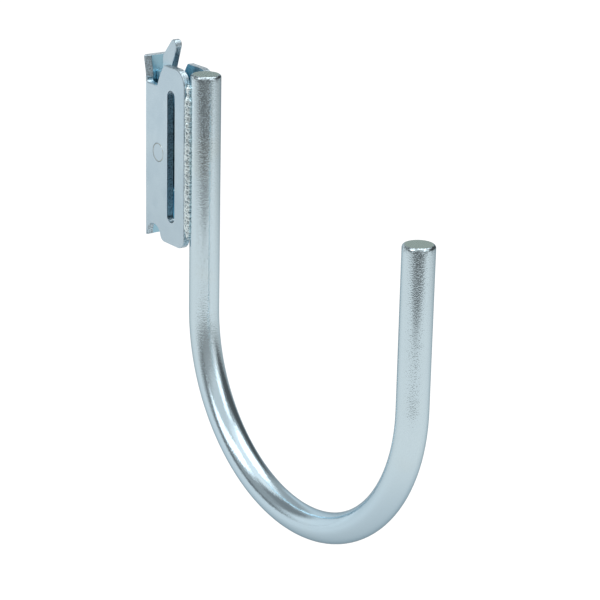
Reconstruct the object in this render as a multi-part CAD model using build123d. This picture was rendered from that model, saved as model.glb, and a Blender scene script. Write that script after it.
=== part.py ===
from build123d import *
import math
import os

# Round-bar hook welded to a folded latch fitting for slotted cargo rail.
# Millimetres. X points away from the wall, Z up, Y along the rail.
# The origin is the middle of the fitting's back, halfway up it.

# Round bar
ROD_D = 12.7
THROAT = 127.0
SHANK_LENGTH = 100.5
TIP_LENGTH = 65.0
ROD_DROP = 0.65
RIM_ROUND = 1.3

# Folded fitting
SHEET = 3.04
BODY_WIDTH = 15.2
BODY_HEIGHT = 75.9
FLANGE_REACH = 31.46
FOLD_INSIDE = 0.5
FRONT_TOP_ROUND = 6.5
FRONT_BOTTOM_ROUND = 4.6
FAR_LOBE_DROP = 0.95
OUTER_RIM_ROUND = 0.45
INNER_RIM_ROUND = 0.3
ROD_SEAT_GAP = 0.03

# Top notch, its tab behind the rail, and the bottom notch
STRIP_CLEAR = 0.25
TOP_NOTCH_DEPTH = 9.55
TOP_NOTCH_FLOOR = 7.7
TOP_NOTCH_MOUTH = 12.9
TOP_NOTCH_BOW = 0.5
TOP_NOTCH_ROOT_ROUND = 2.0
LOBE_TIP_ROUND = 0.8
TAB_RISE = 1.0
TAB_BEND_BELOW = 7.75
TAB_ANGLE = 12.0
TAB_BEND_ROUND = 6.0
TAB_CORNER_ROUND = 2.4
BOTTOM_NOTCH_R = 5.2
BOTTOM_NOTCH_DEPTH = 6.0
BOTTOM_LOBE_ROUND = 3.0

# Long slot in both flanges
SLOT_WIDTH = 5.65
SLOT_LENGTH = 56.6
SLOT_X = 21.7

# Latch lever on its rivet
PIVOT_X = 11.9
RIVET_D = 8.0
RIVET_HOLE_GAP = 0.02
RIVET_EDGE_BREAK = 0.2
LEVER_THICK = 3.04
LEVER_SIDE_GAP = 1.6
LEVER_BORE_GAP = 0.05
LEVER_WALL_GAP = 0.3
LEVER_FRONT_X = 18.0
LEVER_TAIL = 17.0
LEVER_SHOULDER_Z = 33.0
LEVER_SWING = 10.0
LATCH_EDGE_X = 7.95
LATCH_RAMP_Z = 40.0
NECK_X = 14.2
NECK_Z = 33.5
LEVER_BODY_TOP = 16.5
THUMB_X = 16.1
THUMB_Z = 45.9
THUMB_R = 2.25
SHOULDER_ROUND = 1.9
LEVER_CORNER_ROUND = 4.0
LEVER_EDGE_ROUND = 0.5

# Torsion spring beside the lever
COIL_R = 5.0
COIL_TURNS = 2.25
COIL_CLOSENESS = 1.12
SPRING_GAP = 0.35
PUSH_LEG_Z = 10.0
REST_LEG_Z = -12.0
LEG_RUN = 3.0
LEG_BEND_R = 1.5

# Weld beads between the flange fronts and the bar
WELD_LENGTH = 66.0
WELD_RIPPLE = 2.2
WELD_R = 1.7
WELD_RIPPLE_DEPTH = 0.22
WELD_END_TAPER = 3
WELD_LIFT = 0.64
WELD_TURN = 17.0

# Worked out from the sizes above
ROD_R = ROD_D / 2
BEND_R = (THROAT + ROD_D) / 2
HALF_WIDTH = BODY_WIDTH / 2
HALF_GAP = HALF_WIDTH - SHEET
TOP = BODY_HEIGHT / 2
BOTTOM = -BODY_HEIGHT / 2
FOLD_OUTSIDE = SHEET + FOLD_INSIDE
SEAT_REACH = math.sqrt((ROD_R + ROD_SEAT_GAP) ** 2 - HALF_GAP**2)
ROD_X = FLANGE_REACH + SEAT_REACH
ROD_TOP = TOP - ROD_DROP
STRIP_X = SHEET + STRIP_CLEAR
TAB_START = TOP - TAB_BEND_BELOW
LEVER_NEAR_Y = -HALF_GAP + LEVER_SIDE_GAP
LEVER_FAR_Y = LEVER_NEAR_Y + LEVER_THICK
LEVER_BACK_X = SHEET + LEVER_WALL_GAP
SPRING_ROOM = HALF_GAP - LEVER_FAR_Y - 2 * SPRING_GAP
WIRE_D = SPRING_ROOM / (1 + COIL_TURNS * COIL_CLOSENESS)
COIL_PITCH = WIRE_D * COIL_CLOSENESS


def side_plate(sketch, low_y, high_y):
    """A flat X-Z outline given thickness along Y, from low_y to high_y."""
    plane = Plane(origin=(0, high_y, 0), x_dir=(1, 0, 0), z_dir=(0, -1, 0))
    return extrude(plane * sketch, amount=high_y - low_y)


def corners_near(sketch, *points):
    """The corners of an outline that lie nearest to the given points."""
    return [min(sketch.vertices(), key=lambda v: math.dist((v.X, v.Y), p)) for p in points]


def round_corner(plate, x, z, radius):
    """A plate with the edge along Y nearest to (x, z) rounded."""
    edges = plate.edges().filter_by(Axis.Y)
    edge = min(edges, key=lambda e: math.hypot(e.center().X - x, e.center().Z - z))
    return fillet(edge, radius)


def hook_rod():
    """One bar: straight shank, half-circle bend and straight tip, with rounded end rims."""
    shank_end = ROD_TOP - SHANK_LENGTH
    shank = Line((ROD_X, 0, ROD_TOP), (ROD_X, 0, shank_end))
    bend = ThreePointArc(
        (ROD_X, 0, shank_end),
        (ROD_X + BEND_R, 0, shank_end - BEND_R),
        (ROD_X + 2 * BEND_R, 0, shank_end),
    )
    tip = Line(bend @ 1, (ROD_X + 2 * BEND_R, 0, shank_end + TIP_LENGTH))
    section = Plane(origin=(ROD_X, 0, ROD_TOP), z_dir=(0, 0, -1)) * Circle(ROD_R)
    bar = sweep(section, path=Wire([shank, bend, tip]))
    rims = bar.edges().filter_by(GeomType.CIRCLE).filter_by(
        lambda e: abs(e.tangent_at(0).Z) < 1e-6 and abs(e.tangent_at(0.25).Z) < 1e-6
    )
    ends = [e for e in rims if e.center().Z > shank_end + TIP_LENGTH / 2]
    return fillet(ends, RIM_ROUND)


def channel_section():
    """The folded sheet seen from above: a back and two flanges, round at both folds."""
    outer = Pos(FLANGE_REACH / 2, 0) * Rectangle(FLANGE_REACH, BODY_WIDTH)
    outer = fillet(outer.vertices().group_by(Axis.X)[0], FOLD_OUTSIDE)
    inner_depth = FLANGE_REACH - SHEET
    inner = Pos(SHEET + inner_depth / 2, 0) * Rectangle(inner_depth, 2 * HALF_GAP)
    inner = fillet(inner.vertices().group_by(Axis.X)[0], FOLD_INSIDE)
    return outer - inner


def top_notch():
    """Opening for the rail's upper edge: flat floor, upright back, front side leaning outwards."""
    floor_z = TOP - TOP_NOTCH_DEPTH
    above = TOP + 2 * SHEET
    front_foot = (STRIP_X + TOP_NOTCH_FLOOR, floor_z)
    front_lip = (STRIP_X + TOP_NOTCH_MOUTH, TOP)
    run = (front_lip[0] - front_foot[0], front_lip[1] - front_foot[1])
    length = math.hypot(*run)
    bow_x = (front_foot[0] + front_lip[0]) / 2 - TOP_NOTCH_BOW * run[1] / length
    bow_z = (front_foot[1] + front_lip[1]) / 2 + TOP_NOTCH_BOW * run[0] / length
    outline = Wire(
        [
            Line((-SHEET, above), (-SHEET, TAB_START)),
            Line((-SHEET, TAB_START), (STRIP_X, TAB_START)),
            Line((STRIP_X, TAB_START), (STRIP_X, floor_z)),
            Line((STRIP_X, floor_z), front_foot),
            ThreePointArc(front_foot, (bow_x, bow_z), front_lip),
            Line(front_lip, (front_lip[0], above)),
            Line((front_lip[0], above), (-SHEET, above)),
        ]
    )
    notch = make_face(outline)
    round_r = min(TOP_NOTCH_ROOT_ROUND, 0.9 * (TAB_START - floor_z))
    notch = fillet(corners_near(notch, (STRIP_X, floor_z)), round_r)
    return fillet(corners_near(notch, front_foot), round_r / 2)


def bottom_notch():
    """Round-topped opening for the rail's lower edge, against the back's inner face."""
    centre_x = STRIP_X + BOTTOM_NOTCH_R
    centre_z = BOTTOM + BOTTOM_NOTCH_DEPTH - BOTTOM_NOTCH_R
    below = BOTTOM - SHEET
    mouth_height = centre_z - below
    mouth = Pos(centre_x, centre_z - mouth_height / 2) * Rectangle(2 * BOTTOM_NOTCH_R, mouth_height)
    return Pos(centre_x, centre_z) * Circle(BOTTOM_NOTCH_R) + mouth


def side_block(low_y, high_y, lobe_top):
    """A block with the fitting's outline seen along Y: both notches and the rounded lobes."""
    height = lobe_top - BOTTOM
    outline = Pos(FLANGE_REACH / 2, BOTTOM + height / 2) * Rectangle(FLANGE_REACH, height)
    outline = outline - top_notch() - bottom_notch()
    block = side_plate(outline, low_y, high_y)
    block = round_corner(block, FLANGE_REACH, lobe_top, FRONT_TOP_ROUND)
    block = round_corner(block, FLANGE_REACH, BOTTOM, FRONT_BOTTOM_ROUND)
    block = round_corner(block, STRIP_X + TOP_NOTCH_MOUTH, lobe_top, LOBE_TIP_ROUND)
    return round_corner(block, STRIP_X + 2 * BOTTOM_NOTCH_R, BOTTOM, BOTTOM_LOBE_ROUND)


def tab():
    """The back and its folds carried on upwards and leaning towards the wall."""
    # The sides are cut through the middle of each fold, at 45 degrees to the back.
    inner_y = SHEET + HALF_GAP - STRIP_X
    outer_y = HALF_WIDTH + SHEET
    corners = [(-SHEET, -outer_y), (STRIP_X, -inner_y), (STRIP_X, inner_y), (-SHEET, outer_y)]
    strip = make_face(Polyline(*corners, close=True))
    section = Pos(0, 0, TAB_START) * (channel_section() & strip)
    angle = math.radians(TAB_ANGLE)
    foot = Vector(0, 0, TAB_START)
    elbow = foot + Vector(TAB_BEND_ROUND * (math.cos(angle) - 1), 0, TAB_BEND_ROUND * math.sin(angle))
    top = TOP + TAB_RISE
    lean = Vector(-math.sin(angle), 0, math.cos(angle))
    # The strip's front edge ends lower than its back edge does, so it runs on and is cut level.
    run = (top - elbow.Z) / math.cos(angle) + SHEET
    middle = foot + Vector(
        TAB_BEND_ROUND * (math.cos(angle / 2) - 1), 0, TAB_BEND_ROUND * math.sin(angle / 2)
    )
    path = Wire([ThreePointArc(foot, middle, elbow), Line(elbow, elbow + lean * run)])
    strip_solid = sweep(section, path=path)
    height = top - TAB_START
    keep = Pos(0, TAB_START + height / 2) * Rectangle(BODY_WIDTH, height)
    keep = fillet(keep.vertices().group_by(Axis.Y)[-1], TAB_CORNER_ROUND)
    front = Plane(origin=(-2 * TOP, 0, 0), x_dir=(0, 1, 0), z_dir=(1, 0, 0))
    return strip_solid & extrude(front * keep, amount=4 * TOP)


def flange_rims(body, y, from_x):
    """The outline edges of both flanges' faces that lie y off the middle, forward of from_x."""
    faces = [f for f in body.faces().filter_by(Axis.Y) if abs(abs(f.center().Y) - y) < 1e-3]
    large = [f for f in faces if f.area > BODY_HEIGHT * SHEET]
    return [e for f in large for e in f.outer_wire().edges() if e.center().X > from_x]


def fitting_body():
    """One folded sheet: back, flanges, notches, leaning tab, long slots and rivet holes."""
    channel = extrude(Pos(0, 0, BOTTOM) * channel_section(), amount=BODY_HEIGHT)
    near = channel & side_block(-BODY_WIDTH, 0, TOP)
    far = channel & side_block(0, BODY_WIDTH, TOP - FAR_LOBE_DROP)
    body = near + far + tab()
    body = fillet(flange_rims(body, HALF_WIDTH, FOLD_OUTSIDE), OUTER_RIM_ROUND)
    body = fillet(flange_rims(body, HALF_GAP, STRIP_X + SHEET / 4), INNER_RIM_ROUND)
    tab_top = body.edges().filter_by(lambda e: e.center().Z > TOP + TAB_RISE - TAB_CORNER_ROUND)
    body = fillet(tab_top, INNER_RIM_ROUND)
    slot = Pos(SLOT_X, 0) * Rot(0, 0, 90) * SlotOverall(SLOT_LENGTH, SLOT_WIDTH)
    hole = Pos(PIVOT_X, 0) * Circle(RIVET_D / 2 + RIVET_HOLE_GAP)
    return body - side_plate(slot, -BODY_WIDTH, BODY_WIDTH) - side_plate(hole, -BODY_WIDTH, BODY_WIDTH)


def lever_outline():
    """Lever seen along Y: thumb tongue, step that fills the notch, wide middle and clipped tail."""
    tail_slope = math.tan(math.radians(LEVER_SWING))
    tail_back_x = LEVER_BACK_X + LEVER_TAIL * tail_slope
    ramp_foot = (LATCH_EDGE_X, LATCH_RAMP_Z)
    ramp_angle = math.atan2(THUMB_Z - LATCH_RAMP_Z, THUMB_X - LATCH_EDGE_X)
    reach = math.hypot(THUMB_X - LATCH_EDGE_X, THUMB_Z - LATCH_RAMP_Z)
    ramp_angle = ramp_angle + math.asin(THUMB_R / reach)
    ramp_end = (THUMB_X - THUMB_R * math.sin(ramp_angle), THUMB_Z + THUMB_R * math.cos(ramp_angle))
    neck_angle = math.atan2(THUMB_Z - NECK_Z, THUMB_X - NECK_X)
    neck_reach = math.hypot(THUMB_X - NECK_X, THUMB_Z - NECK_Z)
    neck_angle = neck_angle - math.asin(THUMB_R / neck_reach)
    neck_end = (THUMB_X + THUMB_R * math.sin(neck_angle), THUMB_Z - THUMB_R * math.cos(neck_angle))
    crown_angle = (ramp_angle + math.pi / 2 + neck_angle - math.pi / 2) / 2
    crown = (THUMB_X + THUMB_R * math.cos(crown_angle), THUMB_Z + THUMB_R * math.sin(crown_angle))
    points = [
        neck_end,
        (NECK_X, NECK_Z),
        (LEVER_FRONT_X, LEVER_BODY_TOP),
        (LEVER_FRONT_X, -LEVER_TAIL),
        (tail_back_x, -LEVER_TAIL),
        (LEVER_BACK_X, 0),
        (LEVER_BACK_X, LEVER_SHOULDER_Z),
        (LATCH_EDGE_X, LEVER_SHOULDER_Z),
        ramp_foot,
        ramp_end,
    ]
    sides = [Line(a, b) for a, b in zip(points, points[1:])]
    plate = make_face(Wire(sides + [ThreePointArc(ramp_end, crown, neck_end)]))
    plate = fillet(corners_near(plate, (LATCH_EDGE_X, LEVER_SHOULDER_Z)), SHOULDER_ROUND)
    plate = fillet(corners_near(plate, (LEVER_BACK_X, LEVER_SHOULDER_Z)), SHOULDER_ROUND / 4)
    plate = fillet(corners_near(plate, (NECK_X, NECK_Z), ramp_foot), 2 * SHOULDER_ROUND)
    wide = [(LEVER_FRONT_X, LEVER_BODY_TOP), (LEVER_FRONT_X, -LEVER_TAIL), (tail_back_x, -LEVER_TAIL)]
    return fillet(corners_near(plate, *wide), LEVER_CORNER_ROUND)


def latch_lever():
    """Flat lever with its rivet bore."""
    plate = side_plate(lever_outline(), LEVER_NEAR_Y, LEVER_FAR_Y)
    rims = [e for f in plate.faces().filter_by(Axis.Y) for e in f.edges() if e.center().Z > NECK_Z]
    plate = fillet(rims, LEVER_EDGE_ROUND)
    bore = Pos(PIVOT_X, 0) * Circle(RIVET_D / 2 + LEVER_BORE_GAP)
    return plate - side_plate(bore, -BODY_WIDTH, BODY_WIDTH)


def latch_rivet():
    """Plain rivet, flush with both flanges, with its rims broken."""
    shank = side_plate(Pos(PIVOT_X, 0) * Circle(RIVET_D / 2), -HALF_WIDTH, HALF_WIDTH)
    return chamfer(shank.edges().filter_by(GeomType.CIRCLE), RIVET_EDGE_BREAK)


def wire_run(points):
    """Round wire along straight runs joined by small bends."""
    path = FilletPolyline(*points, radius=LEG_BEND_R)
    return sweep(Plane(origin=path @ 0, z_dir=path % 0) * Circle(WIRE_D / 2), path=path)


def latch_spring():
    """Torsion spring round the rivet: one leg hooked over the lever, one against the back."""
    start_y = LEVER_FAR_Y + SPRING_GAP + WIRE_D / 2
    base = Plane(origin=(PIVOT_X, start_y, 0), x_dir=(1, 0, 0), z_dir=(0, 1, 0))
    helix = base * Helix(pitch=COIL_PITCH, height=COIL_TURNS * COIL_PITCH, radius=COIL_R)
    coil = sweep(Plane(origin=helix @ 0, z_dir=helix % 0) * Circle(WIRE_D / 2), path=helix, is_frenet=True)
    # Each leg leaves the coil along the coil's own direction, so that the wire is one solid.
    up_run = (helix @ 0) - (helix % 0) * LEG_RUN
    push_x = LEVER_FRONT_X + WIRE_D / 2 + SPRING_GAP
    push_leg = wire_run(
        [
            helix @ 0,
            up_run,
            (push_x, up_run.Y, PUSH_LEG_Z),
            (push_x, LEVER_NEAR_Y, PUSH_LEG_Z),
        ]
    )
    back_run = (helix @ 1) + (helix % 1) * LEG_RUN
    rest_x = SHEET + WIRE_D / 2 + SPRING_GAP
    rest_leg = wire_run([helix @ 1, back_run, (rest_x, back_run.Y, REST_LEG_Z)])
    return coil + push_leg + rest_leg


def bead_profile():
    """Half outline of a bead: a row of low arcs whose radius falls off at both ends."""
    count = round(WELD_LENGTH / WELD_RIPPLE)
    step = WELD_LENGTH / count
    low = -WELD_LENGTH / 2
    radii = [WELD_R * min(1, (0.5 + min(i, count - i)) / WELD_END_TAPER) ** 0.5 for i in range(count + 1)]
    valleys = [(r - WELD_RIPPLE_DEPTH, low + i * step) for i, r in enumerate(radii)]
    arcs = []
    for i in range(count):
        crest = ((radii[i] + radii[i + 1]) / 2, low + (i + 0.5) * step)
        arcs.append(ThreePointArc(valleys[i], crest, valleys[i + 1]))
    foot = (0, valleys[0][1])
    head = (0, valleys[-1][1])
    return make_face(Wire([Line(foot, valleys[0])] + arcs + [Line(valleys[-1], head), Line(head, foot)]))


def weld_beads():
    """A rippled bead on each side, filling the groove between flange front and bar."""
    turned = revolve(Plane.XZ * bead_profile(), axis=Axis.Z)
    bar = Pos(ROD_X, 0, 0) * Cylinder(ROD_R, 2 * TOP)
    fitting = fitting_body()
    inside = Pos(FLANGE_REACH, 0, 0) * Box(2 * SEAT_REACH, 2 * HALF_GAP, 2 * TOP)
    bead_reach = ROD_R + WELD_LIFT
    bead_angle = math.asin(HALF_GAP / (ROD_R + ROD_SEAT_GAP)) + math.radians(WELD_TURN)
    beads = []
    for side in (-1, 1):
        centre = Pos(ROD_X - bead_reach * math.cos(bead_angle), side * bead_reach * math.sin(bead_angle), 0)
        beads.append(centre * turned - bar - inside - fitting)
    return Compound(children=[s for b in beads for s in b.solids()])


def main():
    os.makedirs("parts", exist_ok=True)
    pieces = [hook_rod, fitting_body, weld_beads, latch_lever, latch_rivet, latch_spring]
    for piece in pieces:
        solid = piece()
        export_step(solid, f"parts/{piece.__name__}.step")
        print(piece.__name__, "volume", round(solid.volume, 1))


main()
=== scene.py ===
import math

import bpy
import numpy as np
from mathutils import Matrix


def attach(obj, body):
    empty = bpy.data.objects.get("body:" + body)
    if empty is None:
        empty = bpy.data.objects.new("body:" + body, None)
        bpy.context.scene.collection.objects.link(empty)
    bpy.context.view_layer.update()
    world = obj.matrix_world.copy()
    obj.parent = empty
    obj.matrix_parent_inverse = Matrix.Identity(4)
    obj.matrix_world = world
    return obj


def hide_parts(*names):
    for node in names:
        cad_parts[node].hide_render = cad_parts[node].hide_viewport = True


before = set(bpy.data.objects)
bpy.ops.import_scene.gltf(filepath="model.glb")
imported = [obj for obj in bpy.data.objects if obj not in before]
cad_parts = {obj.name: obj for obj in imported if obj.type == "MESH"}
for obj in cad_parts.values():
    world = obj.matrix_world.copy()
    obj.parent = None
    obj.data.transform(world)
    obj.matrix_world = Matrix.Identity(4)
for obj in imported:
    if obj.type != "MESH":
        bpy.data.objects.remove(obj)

# Places that the looks share with the solids, in metres; a pair is where a change of tone starts and ends
MM = 0.001
HALF_GAP = 4.56 * MM
BEND_X = 105.772 * MM
BEND_Z = -63.2 * MM
BEND_RADIUS = 69.85 * MM
SHANK_END = 37.3 * MM
TIP_END = 1.8 * MM
FOLD_FRONT = 4.0 * MM
TAB_FRONT = 5.0 * MM
NOTCH_FLOOR = 28.6 * MM
BACK_FACE = 0.5 * MM
LOBE_ACROSS = (15.0 * MM, 21.0 * MM)
LOBE_UP = (26.0 * MM, 31.0 * MM)
TONGUE_UP = (33.0 * MM, 40.0 * MM)
CHIPS_BELOW_END = (0.6 * MM, 3.2 * MM)
PIVOT_X = 11.9 * MM
RIVET_RIM = (3.45 * MM, 3.8 * MM)

# Heights over the start of the bend between which the bend's own tone fades out, its even grain fades
# out, and the half-even grain of the bar's ends comes in
BEND_TONE_FADE = (-50.0 * MM, -10.0 * MM)
BEND_GRAIN_FADE = (0.0, 16.0 * MM)
END_GRAIN_RISE = (25.0 * MM, 60.0 * MM)

# Weld beads: place, size, and for each one its side, its lumps (height, reach, swell in mm) and its seed
BEAD_X = 32.50 * MM
BEAD_Y = 6.06 * MM
BEAD_RADIUS = 1.65 * MM
BEAD_LENGTH = 65.8 * MM
BEAD_WIDEST = 7.86 * MM
RIPPLE_PITCH = 2.2 * MM
BEADS = (
    ("weld_bead_near", -1, ((31.4, 0.8, 0.35), (28.6, 1.4, -0.75), (25.0, 1.2, 0.2)), 11),
    ("weld_bead_far", 1, ((29.0, 2.0, 0.15),), 29),
)

# How fine each pattern is, in patches to the metre
CLOUDS = 90.0
WARM_STAINS = 38.0
BAR_GRAIN = 1950.0
SHEET_GRAIN = 1700.0
RIVET_GRAIN = 2100.0
DRAWN_STREAKS = 700.0
WIRE_STREAKS = 900.0
RIM_CHIPS = 1100.0
WALL_TEARS = 1500.0
WELD_TEARS = 1100.0
PITS = 2200.0
PATCHES = 420.0

# How deep each relief is, in metres
BAR_RELIEF = 0.18 * MM
SHEET_RELIEF = 0.1 * MM
WELD_RELIEF = 0.12 * MM
RIVET_RELIEF = 0.05 * MM
WIRE_RELIEF = 0.04 * MM

# Zinc tones, as the metal reflects
WHITE = (1.0, 1.0, 1.0, 1.0)
ZINC_LIGHT = (0.60, 0.74, 0.82, 1.0)
ZINC_BLUE = (0.51, 0.65, 0.74, 1.0)
ZINC_WARM = (0.62, 0.66, 0.60, 1.0)
BAR_LIGHT = (0.74, 0.89, 0.955, 1.0)
BAR_BLUE = (0.71, 0.86, 0.925, 1.0)
BEND_BLUE = (0.65, 0.84, 0.96, 1.0)
BAR_WARM = (0.72, 0.78, 0.72, 1.0)
EDGE_TONE = (0.46, 0.53, 0.57, 1.0)
RING_WARM = (0.40, 0.41, 0.33, 1.0)
# Painted shade: a deeper, bluer tone for the faces in the recesses between the flanges
RECESS_SHADE_BLUE = (0.40, 0.70, 0.84, 1.0)
SAWN_END = (0.52, 0.61, 0.53, 1.0)
CUT_DARK = (0.22, 0.27, 0.29, 1.0)
WELD_LIGHT = (0.85, 0.98, 1.0, 1.0)
WELD_DARK = (0.23, 0.34, 0.41, 1.0)
WIRE_LIGHT = (0.36, 0.47, 0.53, 1.0)
WIRE_GREY = (0.34, 0.35, 0.36, 1.0)

# Cards of the room: compass angle, height angle, half width, half height, soft edge, tone
ROOM_TONE = (0.42, 0.42, 0.42, 1.0)
CARDS = (
    (180.0, 0.0, 45.0, 20.0, 12.0, 0.80),
    (80.0, 18.0, 32.0, 14.0, 12.0, 0.10),
    (-148.0, 42.0, 18.0, 14.0, 12.0, 0.25),
    (-120.0, 16.0, 14.0, 18.0, 8.0, 0.36),
    (-92.0, 2.0, 42.0, 6.0, 4.0, 0.20),
    (-37.0, 6.0, 24.0, 12.0, 10.0, 0.36),
    (-40.0, 40.0, 38.0, 18.0, 8.0, 0.66),
    (15.0, 2.0, 15.0, 20.0, 8.0, 0.75),
    (0.0, 90.0, 180.0, 28.0, 10.0, 0.95),
    (80.0, 74.0, 60.0, 13.0, 8.0, 1.15),
    (13.0, 37.0, 13.0, 14.0, 5.0, 1.6),
    (-88.0, 35.0, 12.0, 21.0, 3.0, 1.8),
)

# The table as the metal shows it. Each row is where it gets dimmer, or brighter with a share below 0:
# compass angle, where it starts, where it ends, share
FLOOR_LEVEL = -0.2
FLOOR_HALF_WIDTH = 9.0
FLOOR_BASE = (0.1, 0.1, 0.1, 1.0)
FLOOR_TONE = 0.67
FLOOR_DIMS = (
    (90.0, 0.3, 1.0, 0.5),
    (-90.0, 0.53, 0.92, 0.42),
    (-155.0, 0.52, 0.92, -0.33),
)

# The dark gap past the table's edge: compass angle, where it starts, where it ends, the share lost in it
# and the share lost past it
GAP = (-38.0, (0.59, 0.68), (1.05, 1.5), 0.92, 0.38)

# The hook's own shade on the table: where it starts to fade, where it ends, share
UNDER_HOOK = (0.02, 0.2, 0.22)

# Soft boxes: name, place, size, power
LAMP_TARGET = (0.1, 0.0, -0.03)
LAMPS = (
    ("overhead box", (0.16, 0.44, 1.11), 0.9, 2.6),
    ("left box", (0.0, -0.95, 0.8), 0.6, 0.8),
)


# Node helpers
def put(tree, kind, settings=None, **sockets):
    """Adds a node, sets its properties, and gives each named socket a number, a colour or a link."""
    node = tree.nodes.new(kind)
    for name, value in (settings or {}).items():
        setattr(node, name, value)
    for name, value in sockets.items():
        fill(tree, node.inputs[name.replace("_", " ")], value)
    return node


def fill(tree, socket, value):
    """Links a socket to another, or sets its number."""
    if isinstance(value, bpy.types.NodeSocket):
        tree.links.new(value, socket)
    else:
        socket.default_value = value


def calc(tree, operation, *terms):
    """One step of arithmetic; gives back the result's socket."""
    node = put(tree, "ShaderNodeMath", {"operation": operation})
    for socket, term in zip(node.inputs, terms):
        fill(tree, socket, term)
    return node.outputs[0]


def plus(tree, first, *others):
    """The sum of all terms."""
    for other in others:
        first = calc(tree, "ADD", first, other)
    return first


def times(tree, first, *others):
    """The product of all terms."""
    for other in others:
        first = calc(tree, "MULTIPLY", first, other)
    return first


def rest_of(tree, share):
    """What is left of 1 after a share."""
    return calc(tree, "SUBTRACT", 1.0, share)


def size_of(tree, value):
    """A value without its sign."""
    return calc(tree, "ABSOLUTE", value)


def flat_length(tree, first, second):
    """The length of a vector with two parts."""
    return calc(tree, "SQRT", plus(tree, times(tree, first, first), times(tree, second, second)))


def parts_of(tree, vector):
    """A vector's X, Y and Z."""
    return put(tree, "ShaderNodeSeparateXYZ", Vector=vector).outputs


def smooth_step(tree, value, low, high):
    """0 below low, 1 above high, and a smooth rise between."""
    settings = {"interpolation_type": "SMOOTHSTEP"}
    node = put(tree, "ShaderNodeMapRange", settings, Value=value, From_Min=low, From_Max=high)
    return node.outputs["Result"]


def blend_colour(tree, share, first, second):
    """first where share is 0, second where it is 1."""
    node = put(tree, "ShaderNodeMix", {"data_type": "RGBA"})
    fill(tree, node.inputs["Factor"], share)
    fill(tree, node.inputs[6], first)
    fill(tree, node.inputs[7], second)
    return node.outputs[2]


def noise(tree, place, scale, detail=2.0, roughness=0.5):
    """Cloudy noise between 0 and 1, with about scale patches to the metre."""
    node = put(tree, "ShaderNodeTexNoise", Vector=place, Scale=scale, Detail=detail, Roughness=roughness)
    return node.outputs["Fac"]


def new_group(name, vector, numbers, results):
    """A shader node group that takes a vector and some numbers and puts out numbers; gives back its tree,
    what it is given and what it puts out."""
    tree = bpy.data.node_groups.new(name, "ShaderNodeTree")
    tree.interface.new_socket(name=vector, in_out="INPUT", socket_type="NodeSocketVector")
    for label in numbers:
        tree.interface.new_socket(name=label, in_out="INPUT", socket_type="NodeSocketFloat")
    for label in results:
        tree.interface.new_socket(name=label, in_out="OUTPUT", socket_type="NodeSocketFloat")
    return tree, tree.nodes.new("NodeGroupInput").outputs, tree.nodes.new("NodeGroupOutput").inputs


def use_group(tree, group, **sockets):
    """Places a node group in a tree with its own values."""
    node = tree.nodes.new("ShaderNodeGroup")
    node.node_tree = group
    for name, value in sockets.items():
        fill(tree, node.inputs[name.replace("_", " ")], value)
    return node.outputs


# Shared effects
def zinc_skin():
    """Plated skin: a cloudy, finely grained tone, warm stains, and a height. Evenness 1 raises the grain all
    over; 0 leaves it flat but for single crystals that stand up."""
    numbers = ["Cloud", "Grain", "Fineness", "Evenness"]
    tree, given, result = new_group("zinc skin", "Place", numbers, ["Tone", "Warmth", "Height"])
    clouds = noise(tree, given["Place"], CLOUDS, 3.0, 0.55)
    grain = noise(tree, given["Place"], given["Fineness"], 1.0, 0.6)
    cloud_part = times(tree, calc(tree, "SUBTRACT", clouds, 0.5), 2.0, given["Cloud"])
    grain_part = times(tree, calc(tree, "SUBTRACT", grain, 0.5), 2.6, given["Grain"])
    fill(tree, result["Tone"], plus(tree, cloud_part, grain_part, 0.5))
    warm = noise(tree, given["Place"], WARM_STAINS, 2.0, 0.5)
    fill(tree, result["Warmth"], smooth_step(tree, warm, 0.56, 0.78))
    crystals = times(tree, smooth_step(tree, grain, 0.54, 0.72), given["Grain"], 0.5)
    sparse = times(tree, crystals, rest_of(tree, given["Evenness"]))
    even = times(tree, grain_part, given["Evenness"])
    fill(tree, result["Height"], plus(tree, times(tree, clouds, 0.6), plus(tree, sparse, even)))
    return tree


def torn_metal():
    """Sheared or melted surface: coarse grains and small pits, light on the crests and dark in the pits."""
    tree, given, result = new_group("torn metal", "Place", ["Coarseness"], ["Tone", "Height"])
    grains = put(tree, "ShaderNodeTexVoronoi", {"feature": "SMOOTH_F1"}, Vector=given["Place"])
    fill(tree, grains.inputs["Scale"], given["Coarseness"])
    fill(tree, grains.inputs["Smoothness"], 0.6)
    pits = noise(tree, given["Place"], PITS, 3.0, 0.65)
    height = plus(tree, grains.outputs["Distance"], times(tree, pits, 0.8))
    fill(tree, result["Height"], height)
    fill(tree, result["Tone"], smooth_step(tree, height, 0.40, 1.05))
    return tree


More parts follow.
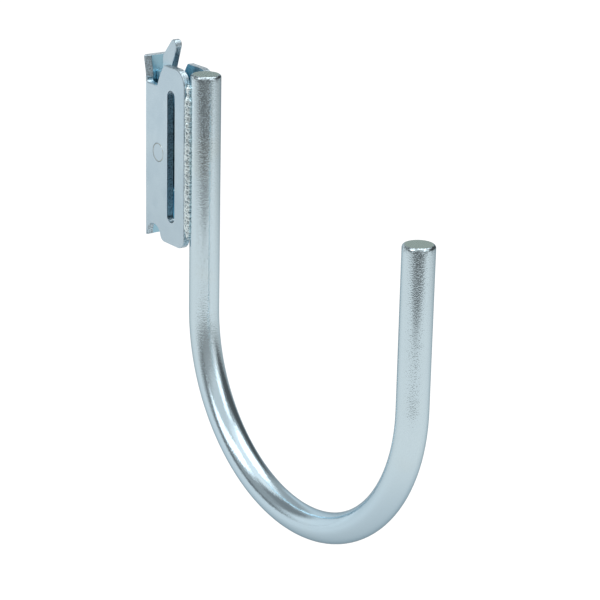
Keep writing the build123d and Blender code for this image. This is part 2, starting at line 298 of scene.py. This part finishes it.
def bar_streaks():
    """Drawing streaks that follow the bar round its bend, the share of the bend (0 on the straights), and
    how even the grain is: 1 round the bend, 0 a little above it and a half towards the ends."""
    tree, given, result = new_group("bar streaks", "Place", [], ["Streak", "Bend", "Evenness"])
    split = parts_of(tree, given["Place"])
    out = calc(tree, "SUBTRACT", split["X"], BEND_X)
    up = calc(tree, "SUBTRACT", split["Z"], BEND_Z)
    below = calc(tree, "MINIMUM", up, 0.0)
    angle = calc(tree, "ARCTAN2", below, out)
    length = plus(tree, times(tree, angle, BEND_RADIUS), calc(tree, "MAXIMUM", up, 0.0))
    reach = flat_length(tree, out, below)
    along = put(tree, "ShaderNodeCombineXYZ", X=reach, Y=split["Y"], Z=length).outputs[0]
    stretched = put(tree, "ShaderNodeMapping", Vector=along, Scale=(1.0, 1.0, 0.05)).outputs[0]
    fill(tree, result["Streak"], noise(tree, stretched, DRAWN_STREAKS, 3.0, 0.6))
    fill(tree, result["Bend"], rest_of(tree, smooth_step(tree, below, *BEND_TONE_FADE)))
    low = rest_of(tree, smooth_step(tree, up, *BEND_GRAIN_FADE))
    high = times(tree, smooth_step(tree, up, *END_GRAIN_RISE), 0.5)
    fill(tree, result["Evenness"], calc(tree, "MAXIMUM", low, high))
    return tree


SKIN = zinc_skin()
TORN = torn_metal()
STREAKS = bar_streaks()


# Materials
def new_material(name, metallic):
    """A material with its shader and output; gives back the tree, the shader and the coordinates too."""
    material = bpy.data.materials.new(name)
    material.use_nodes = True
    tree = material.node_tree
    tree.nodes.clear()
    shader = put(tree, "ShaderNodeBsdfPrincipled", Metallic=metallic)
    output = put(tree, "ShaderNodeOutputMaterial")
    tree.links.new(shader.outputs[0], output.inputs["Surface"])
    coordinates = tree.nodes.new("ShaderNodeTexCoord")
    return material, tree, shader, coordinates.outputs


def bumps(tree, shader, height, strength, depth):
    """Feeds the shader's normal from a height."""
    node = put(tree, "ShaderNodeBump", Height=height, Strength=strength, Distance=depth)
    fill(tree, shader.inputs["Normal"], node.outputs["Normal"])


def bar_end_height(tree, along_x):
    """The height of the bar's end: the shank's near the fitting, the tip's further out."""
    outer = calc(tree, "GREATER_THAN", along_x, BEND_X)
    return plus(tree, times(tree, outer, TIP_END - SHANK_END), SHANK_END)


def plated_bar():
    """Drawn bar under zinc: fine crystal grain, streaks along the bar, and dull sawn ends with chips below
    their rims."""
    material, tree, shader, place = new_material("plated bar", 1.0)
    drawn = use_group(tree, STREAKS, Place=place["Object"])
    skin = use_group(
        tree, SKIN, Place=place["Object"], Cloud=0.5, Grain=rest_of(tree, times(tree, drawn["Bend"], 0.5)),
        Fineness=BAR_GRAIN, Evenness=drawn["Evenness"],
    )
    facing = parts_of(tree, place["Normal"])
    spot = parts_of(tree, place["Object"])
    upwards = smooth_step(tree, facing["Z"], 0.93, 0.99)
    sawn = times(tree, upwards, calc(tree, "GREATER_THAN", spot["Z"], BEND_Z))
    below_end = calc(tree, "SUBTRACT", bar_end_height(tree, spot["X"]), spot["Z"])
    near_end = rest_of(tree, smooth_step(tree, below_end, *CHIPS_BELOW_END))
    chips = smooth_step(tree, noise(tree, place["Object"], RIM_CHIPS, 2.0, 0.6), 0.42, 0.58)
    chipped = times(tree, near_end, chips, rest_of(tree, sawn))
    share = plus(tree, times(tree, drawn["Streak"], 0.3), times(tree, skin["Tone"], 0.7))
    colour = blend_colour(tree, smooth_step(tree, share, 0.25, 0.75), BAR_BLUE, BAR_LIGHT)
    for mask, most, tone in (
        (drawn["Bend"], 0.7, BEND_BLUE),
        (skin["Warmth"], 0.2, BAR_WARM),
        (chipped, 0.7, CUT_DARK),
        (sawn, 0.9, SAWN_END),
    ):
        colour = blend_colour(tree, times(tree, mask, most), colour, tone)
    fill(tree, shader.inputs["Base Color"], colour)
    rough = plus(tree, times(tree, skin["Tone"], 0.06), 0.09, times(tree, sawn, 0.15))
    fill(tree, shader.inputs["Roughness"], rough)
    shader.inputs["Specular Tint"].default_value = EDGE_TONE
    bumps(tree, shader, plus(tree, skin["Height"], times(tree, drawn["Streak"], 0.15)), 0.2, BAR_RELIEF)
    return material


def plated_sheet(name, walls, recess_shade):
    """Smooth blue-white sheet; its punched walls are torn and speckled, and a deeper blue is painted on as
    shade in the recesses between the flanges. walls gives the torn share, the third argument the share of
    painted shade."""
    material, tree, shader, place = new_material(name, 1.0)
    skin = use_group(
        tree, SKIN, Place=place["Object"], Cloud=0.9, Grain=0.4, Fineness=SHEET_GRAIN, Evenness=1.0,
    )
    torn = use_group(tree, TORN, Place=place["Object"], Coarseness=WALL_TEARS)
    cut = walls(tree, place)
    smooth_colour = blend_colour(tree, skin["Tone"], ZINC_BLUE, ZINC_LIGHT)
    smooth_colour = blend_colour(tree, times(tree, skin["Warmth"], 0.12), smooth_colour, ZINC_WARM)
    # Painted shade: a deeper blue laid on in the recesses between the flanges and on the lever's hidden part
    deep = times(tree, recess_shade(tree, place), 0.85)
    smooth_colour = blend_colour(tree, deep, smooth_colour, RECESS_SHADE_BLUE)
    torn_colour = blend_colour(tree, torn["Tone"], CUT_DARK, ZINC_LIGHT)
    fill(tree, shader.inputs["Base Color"], blend_colour(tree, cut, smooth_colour, torn_colour))
    fill(tree, shader.inputs["Roughness"], plus(tree, times(tree, cut, 0.06), 0.26))
    skin_height = times(tree, skin["Height"], 0.12)
    torn_height = times(tree, torn["Height"], cut, 1.6)
    bumps(tree, shader, plus(tree, skin_height, torn_height), 0.5, SHEET_RELIEF)
    return material


def fitting_walls(tree, place):
    """1 on the flanges' punched walls, the walls of the notches and the sides of the tab; 0 on the rolled
    faces."""
    facing = parts_of(tree, place["Normal"])
    spot = parts_of(tree, place["Object"])
    past_fold = calc(tree, "GREATER_THAN", spot["X"], FOLD_FRONT)
    fore_and_aft = calc(tree, "MAXIMUM", facing["X"], times(tree, size_of(tree, facing["X"]), past_fold))
    in_flange = calc(tree, "GREATER_THAN", size_of(tree, spot["Y"]), HALF_GAP - 0.1 * MM)
    side_walls = times(tree, smooth_step(tree, fore_and_aft, 0.35, 0.7), in_flange)
    end_walls = smooth_step(tree, size_of(tree, facing["Z"]), 0.4, 0.75)
    above_notch = calc(tree, "GREATER_THAN", spot["Z"], NOTCH_FLOOR)
    on_tab = times(tree, above_notch, calc(tree, "LESS_THAN", spot["X"], TAB_FRONT))
    tab_walls = times(tree, on_tab, smooth_step(tree, size_of(tree, facing["Y"]), 0.3, 0.6))
    return calc(tree, "MAXIMUM", tab_walls, calc(tree, "MAXIMUM", side_walls, end_walls))


def channel_recess_shade(tree, place):
    """Share of painted recess shade: 1 on the faces between the flanges, less on their lobes, 0 outside."""
    spot = parts_of(tree, place["Object"])
    inwards = calc(tree, "LESS_THAN", size_of(tree, spot["Y"]), HALF_GAP + 0.4 * MM)
    across = smooth_step(tree, spot["X"], *LOBE_ACROSS)
    lobe = times(tree, across, smooth_step(tree, spot["Z"], *LOBE_UP))
    off_the_back = calc(tree, "GREATER_THAN", spot["X"], BACK_FACE)
    return times(tree, inwards, rest_of(tree, times(tree, lobe, 0.55)), off_the_back)


def lever_recess_shade(tree, place):
    """Share of painted recess shade: 1 on the part of the lever that is hidden between the flanges, falling
    to 0 up its tongue.
    """
    spot = parts_of(tree, place["Object"])
    return rest_of(tree, smooth_step(tree, spot["Z"], *TONGUE_UP))


def lever_walls(tree, place):
    """A little torn all round the lever's edge, not at all on its flat sides."""
    facing = parts_of(tree, place["Normal"])
    edgewise = rest_of(tree, size_of(tree, facing["Y"]))
    return times(tree, smooth_step(tree, edgewise, 0.3, 0.9), 0.8)


def weld_metal():
    """Melted metal under zinc: sparkling crests and dark pits."""
    material, tree, shader, place = new_material("weld metal", 1.0)
    torn = use_group(tree, TORN, Place=place["Object"], Coarseness=WELD_TEARS)
    patches = noise(tree, place["Object"], PATCHES)
    share = plus(tree, times(tree, torn["Tone"], 0.6), times(tree, patches, 0.5))
    colour = blend_colour(tree, smooth_step(tree, share, 0.3, 0.75), WELD_DARK, WELD_LIGHT)
    fill(tree, shader.inputs["Base Color"], colour)
    fill(tree, shader.inputs["Roughness"], plus(tree, times(tree, patches, 0.15), 0.2))
    bumps(tree, shader, torn["Height"], 0.45, WELD_RELIEF)
    return material


def ground_rivet():
    """The rivet's flush ends: plated, with a faint warm ring where the plate meets the sheet."""
    material, tree, shader, place = new_material("ground rivet", 1.0)
    skin = use_group(
        tree, SKIN, Place=place["Object"], Cloud=0.4, Grain=0.4, Fineness=RIVET_GRAIN, Evenness=1.0,
    )
    spot = parts_of(tree, place["Object"])
    reach = flat_length(tree, calc(tree, "SUBTRACT", spot["X"], PIVOT_X), spot["Z"])
    ring = smooth_step(tree, reach, *RIVET_RIM)
    patches = smooth_step(tree, noise(tree, place["Object"], PATCHES), 0.36, 0.55)
    rim = times(tree, ring, plus(tree, times(tree, patches, 0.6), 0.4))
    colour = blend_colour(tree, skin["Tone"], ZINC_BLUE, ZINC_LIGHT)
    fill(tree, shader.inputs["Base Color"], blend_colour(tree, rim, colour, RING_WARM))
    shader.inputs["Roughness"].default_value = 0.28
    bumps(tree, shader, skin["Height"], 0.2, RIVET_RELIEF)
    return material


def spring_wire():
    """Bare drawn wire, grey, with fine streaks."""
    material, tree, shader, place = new_material("spring wire", 1.0)
    streaks = noise(tree, place["Object"], WIRE_STREAKS, 3.0, 0.6)
    fill(tree, shader.inputs["Base Color"], blend_colour(tree, streaks, WIRE_GREY, WIRE_LIGHT))
    shader.inputs["Roughness"].default_value = 0.32
    bumps(tree, shader, streaks, 0.2, WIRE_RELIEF)
    return material


def dress(node, material):
    """Gives a solid carried over from the model its finish."""
    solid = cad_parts[node]
    solid.data.materials.clear()
    solid.data.materials.append(material)


# Weld beads
def lattice_noise(rows, columns, row_cells, column_cells, seed):
    """Random numbers on a coarse lattice, closed round the second direction, blended smoothly between."""
    points = np.random.default_rng(seed).uniform(-1.0, 1.0, (row_cells + 1, column_cells))
    points = np.concatenate([points, points[:, :1]], axis=1)
    u = np.linspace(0.0, row_cells * 0.9999, rows)
    v = np.linspace(0.0, column_cells * 0.9999, columns)
    i, j = u.astype(int), v.astype(int)
    a = (u - i)[:, None]
    b = (v - j)[None, :]
    a, b = a * a * (3 - 2 * a), b * b * (3 - 2 * b)
    top = points[i][:, j] * (1 - b) + points[i][:, j + 1] * b
    low = points[i + 1][:, j] * (1 - b) + points[i + 1][:, j + 1] * b
    return top * (1 - a) + low * a


def closed_tube(name, grid):
    """A mesh from rings of points (ring, spoke, xyz), closed round each ring, with a point at each end."""
    rings, spokes = grid.shape[:2]
    ends = grid[[0, -1]].mean(axis=1)
    points = np.concatenate([grid.reshape(-1, 3), ends])
    here = np.arange(spokes)
    beside = (here + 1) % spokes
    rows = np.arange(rings - 1)[:, None] * spokes
    quads = np.stack([rows + here, rows + beside, rows + spokes + beside, rows + spokes + here], axis=-1)
    first, last = rings * spokes, rings * spokes + 1
    foot = np.stack([beside, here, np.full(spokes, first)], axis=-1)
    top = (rings - 1) * spokes
    head = np.stack([top + here, top + beside, np.full(spokes, last)], axis=-1)
    faces = quads.reshape(-1, 4).tolist() + foot.tolist() + head.tolist()
    mesh = bpy.data.meshes.new(name)
    mesh.from_pydata(points.tolist(), [], faces)
    mesh.shade_smooth()
    mesh.update()
    piece = bpy.data.objects.new(name, mesh)
    bpy.context.scene.collection.objects.link(piece)
    return piece


def weld_bead(name, side, lumps, seed):
    """One bead: a tube up the groove between flange and bar. Its radius is the plain radius drawn in at both
    ends, less a small allowance, plus crescent ripples, a fine random crust, a slow random swell, and lumps
    that fall off with height. Past a knee the outer side is pressed towards BEAD_WIDEST."""
    rings, spokes = 420, 72
    z = np.linspace(-BEAD_LENGTH / 2, BEAD_LENGTH / 2, rings)[:, None]
    turn = np.linspace(0.0, 2 * math.pi, spokes, endpoint=False)[None, :]
    from_end = np.minimum(z + BEAD_LENGTH / 2, BEAD_LENGTH / 2 - z)
    taper = np.clip((from_end + 0.3 * MM) / (4.5 * MM), 0.0, 1.0) ** 0.45
    outwards = math.atan2(side * 1.0, -0.55)
    crescent = 0.8 * MM * (1 - np.cos(turn - outwards))
    wander = 0.6 * MM * lattice_noise(rings, 1, 30, 1, seed)
    ripple = np.abs(np.sin(math.pi * (z + crescent + wander) / RIPPLE_PITCH)) ** 0.6
    crust = lattice_noise(rings, spokes, 130, 20, seed + 1)
    swell = 0.16 * MM * lattice_noise(rings, spokes, 34, 6, seed + 2)
    for height, reach, amount in lumps:
        swell = swell + amount * MM * np.exp(-(((z - height * MM) / (reach * MM)) ** 2))
    radius = BEAD_RADIUS * taper - 0.14 * MM + 0.10 * MM * ripple + 0.08 * MM * crust + swell
    radius = np.maximum(radius, 0.15 * MM)
    x = BEAD_X + radius * np.cos(turn)
    y = BEAD_Y + side * radius * np.sin(turn)
    soft = 0.4 * MM
    knee = BEAD_WIDEST - soft
    y = side * np.where(y > knee, knee + soft * np.tanh((y - knee) / soft), y)
    grid = np.stack([x, y, np.broadcast_to(z, x.shape)], axis=-1)
    return closed_tube(name, grid)


# Studio
def card_mask():
    """1 on a soft-edged card of the room round a compass angle and a height angle, 0 off it; in degrees."""
    numbers = ["Compass", "Height", "Half Width", "Half Height", "Edge"]
    tree, given, result = new_group("studio card", "Direction", numbers, ["Mask"])
    turn = calc(tree, "RADIANS", times(tree, given["Compass"], -1.0))
    settings = {"rotation_type": "Z_AXIS"}
    turned = put(tree, "ShaderNodeVectorRotate", settings, Vector=given["Direction"], Angle=turn)
    split = parts_of(tree, turned.outputs[0])
    sideways = calc(tree, "DEGREES", size_of(tree, calc(tree, "ARCTAN2", split["Y"], split["X"])))
    up = calc(tree, "DEGREES", calc(tree, "ARCSINE", split["Z"]))
    off = size_of(tree, calc(tree, "SUBTRACT", up, given["Height"]))
    masks = []
    for angle, half in ((sideways, given["Half Width"]), (off, given["Half Height"])):
        outer = plus(tree, half, given["Edge"])
        masks.append(rest_of(tree, smooth_step(tree, angle, half, outer)))
    fill(tree, result["Mask"], times(tree, *masks))
    return tree


def studio_world():
    """White to the camera. To the metal it is a dim room with pale cards overhead, at the left, at the front
    right and behind, and dark ones at the right and low at the left."""
    card = card_mask()
    world = bpy.data.worlds.new("studio")
    bpy.context.scene.world = world
    world.use_nodes = True
    tree = world.node_tree
    tree.nodes.clear()
    direction = tree.nodes.new("ShaderNodeTexCoord").outputs["Generated"]
    room = ROOM_TONE
    for compass, height, half_width, half_height, edge, tone in CARDS:
        mask = use_group(
            tree, card, Direction=direction, Compass=compass, Height=height,
            Half_Width=half_width, Half_Height=half_height, Edge=edge,
        )["Mask"]
        room = blend_colour(tree, mask, room, (tone, tone, tone, 1.0))
    rays = tree.nodes.new("ShaderNodeLightPath").outputs
    seen = blend_colour(tree, rays["Is Camera Ray"], room, WHITE)
    background = put(tree, "ShaderNodeBackground", Color=seen, Strength=1.0)
    output = tree.nodes.new("ShaderNodeOutputWorld")
    tree.links.new(background.outputs[0], output.inputs["Surface"])


def soft_lamp(name, place, size, power):
    """A square soft box that points at the hook."""
    lamp = bpy.data.lights.new(name, "AREA")
    lamp.shape = "SQUARE"
    lamp.size = size
    lamp.energy = power
    holder = bpy.data.objects.new(name, lamp)
    holder.location = place
    aim = np.array(LAMP_TARGET) - np.array(place)
    tilt = math.atan2(math.hypot(aim[0], aim[1]), -aim[2])
    holder.rotation_euler = (tilt, 0.0, math.atan2(aim[1], aim[0]) - math.pi / 2)
    bpy.context.scene.collection.objects.link(holder)


def reach_along(tree, place, direction):
    """How far a point of the floor lies from the middle along a compass direction."""
    angle = math.radians(direction)
    forward = put(tree, "ShaderNodeVectorMath", {"operation": "DOT_PRODUCT"})
    fill(tree, forward.inputs[0], place)
    forward.inputs[1].default_value = (math.cos(angle), math.sin(angle), 0.0)
    return forward.outputs["Value"]


def shade_under_hook(tree, place):
    """What is left of the table's tone below the hook, where the hook shades it."""
    below = put(tree, "ShaderNodeVectorMath", {"operation": "DISTANCE"})
    fill(tree, below.inputs[0], place)
    below.inputs[1].default_value = (BEND_X, 0.0, FLOOR_LEVEL)
    near, far, share = UNDER_HOOK
    shade = rest_of(tree, smooth_step(tree, below.outputs["Value"], near, far))
    return rest_of(tree, times(tree, shade, share))


def floor_tone(tree, place):
    """The floor's tone as the metal shows it: the table, dimmer far off to the left and right, a dark gap
    past its straight edge on the camera's side, and room beyond the gap."""
    shown = times(tree, shade_under_hook(tree, place), FLOOR_TONE)
    for direction, near, far, share in FLOOR_DIMS:
        along = reach_along(tree, place, direction)
        loss = times(tree, smooth_step(tree, along, near, far), share)
        shown = times(tree, shown, rest_of(tree, loss))
    direction, starts, ends, in_gap, past_gap = GAP
    along = reach_along(tree, place, direction)
    regained = times(tree, smooth_step(tree, along, *ends), in_gap - past_gap)
    depth = calc(tree, "SUBTRACT", in_gap, regained)
    loss = times(tree, smooth_step(tree, along, *starts), depth)
    return times(tree, shown, rest_of(tree, loss))


def studio_floor():
    """A wide pale floor a little below the hook: white where it is seen, and to the metal a table."""
    corners = []
    for x_sign, y_sign in ((-1, -1), (1, -1), (1, 1), (-1, 1)):
        corners.append((x_sign * FLOOR_HALF_WIDTH, y_sign * FLOOR_HALF_WIDTH, FLOOR_LEVEL))
    mesh = bpy.data.meshes.new("floor")
    mesh.from_pydata(corners, [], [(0, 1, 2, 3)])
    floor = bpy.data.objects.new("floor", mesh)
    bpy.context.scene.collection.objects.link(floor)
    material, tree, shader, place = new_material("pale floor", 0.0)
    shader.inputs["Base Color"].default_value = FLOOR_BASE
    shader.inputs["Roughness"].default_value = 0.9
    shader.inputs["Specular IOR Level"].default_value = 0.0
    shown = floor_tone(tree, place["Object"])
    reflected = put(tree, "ShaderNodeCombineColor", Red=shown, Green=shown, Blue=shown).outputs[0]
    rays = tree.nodes.new("ShaderNodeLightPath").outputs
    glow = calc(tree, "MAXIMUM", rays["Is Camera Ray"], rays["Is Glossy Ray"])
    fill(tree, shader.inputs["Emission Color"], blend_colour(tree, rays["Is Camera Ray"], reflected, WHITE))
    fill(tree, shader.inputs["Emission Strength"], glow)
    floor.data.materials.append(material)


def photograph_camera():
    """The photograph's camera, as fitted to the bar's outline."""
    lens = bpy.data.cameras.new("camera")
    lens.lens = 137.39
    lens.sensor_width = 36.0
    lens.clip_end = 50.0
    camera = bpy.data.objects.new("camera", lens)
    camera.location = (0.791167, -0.509105, 0.248806)
    camera.rotation_euler = tuple(math.radians(a) for a in (71.32441, -1.193244, 53.889667))
    bpy.context.scene.collection.objects.link(camera)
    bpy.context.scene.camera = camera


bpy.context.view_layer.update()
photograph_camera()
studio_world()
studio_floor()
for lamp_name, lamp_place, lamp_size, lamp_power in LAMPS:
    soft_lamp(lamp_name, lamp_place, lamp_size, lamp_power)
bpy.context.scene.view_settings.view_transform = "Standard"

dress("hook_rod", plated_bar())
dress("fitting_body", plated_sheet("plated sheet", fitting_walls, channel_recess_shade))
dress("latch_lever", plated_sheet("plated lever", lever_walls, lever_recess_shade))
dress("latch_rivet", ground_rivet())
dress("latch_spring", spring_wire())

melt = weld_metal()
for bead_name, bead_side, bead_lumps, bead_seed in BEADS:
    bead = weld_bead(bead_name, bead_side, bead_lumps, bead_seed)
    bead.data.materials.append(melt)
    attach(bead, "hook")
    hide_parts("weld_beads")

bpy.context.view_layer.update()

bpy.context.view_layer.update()
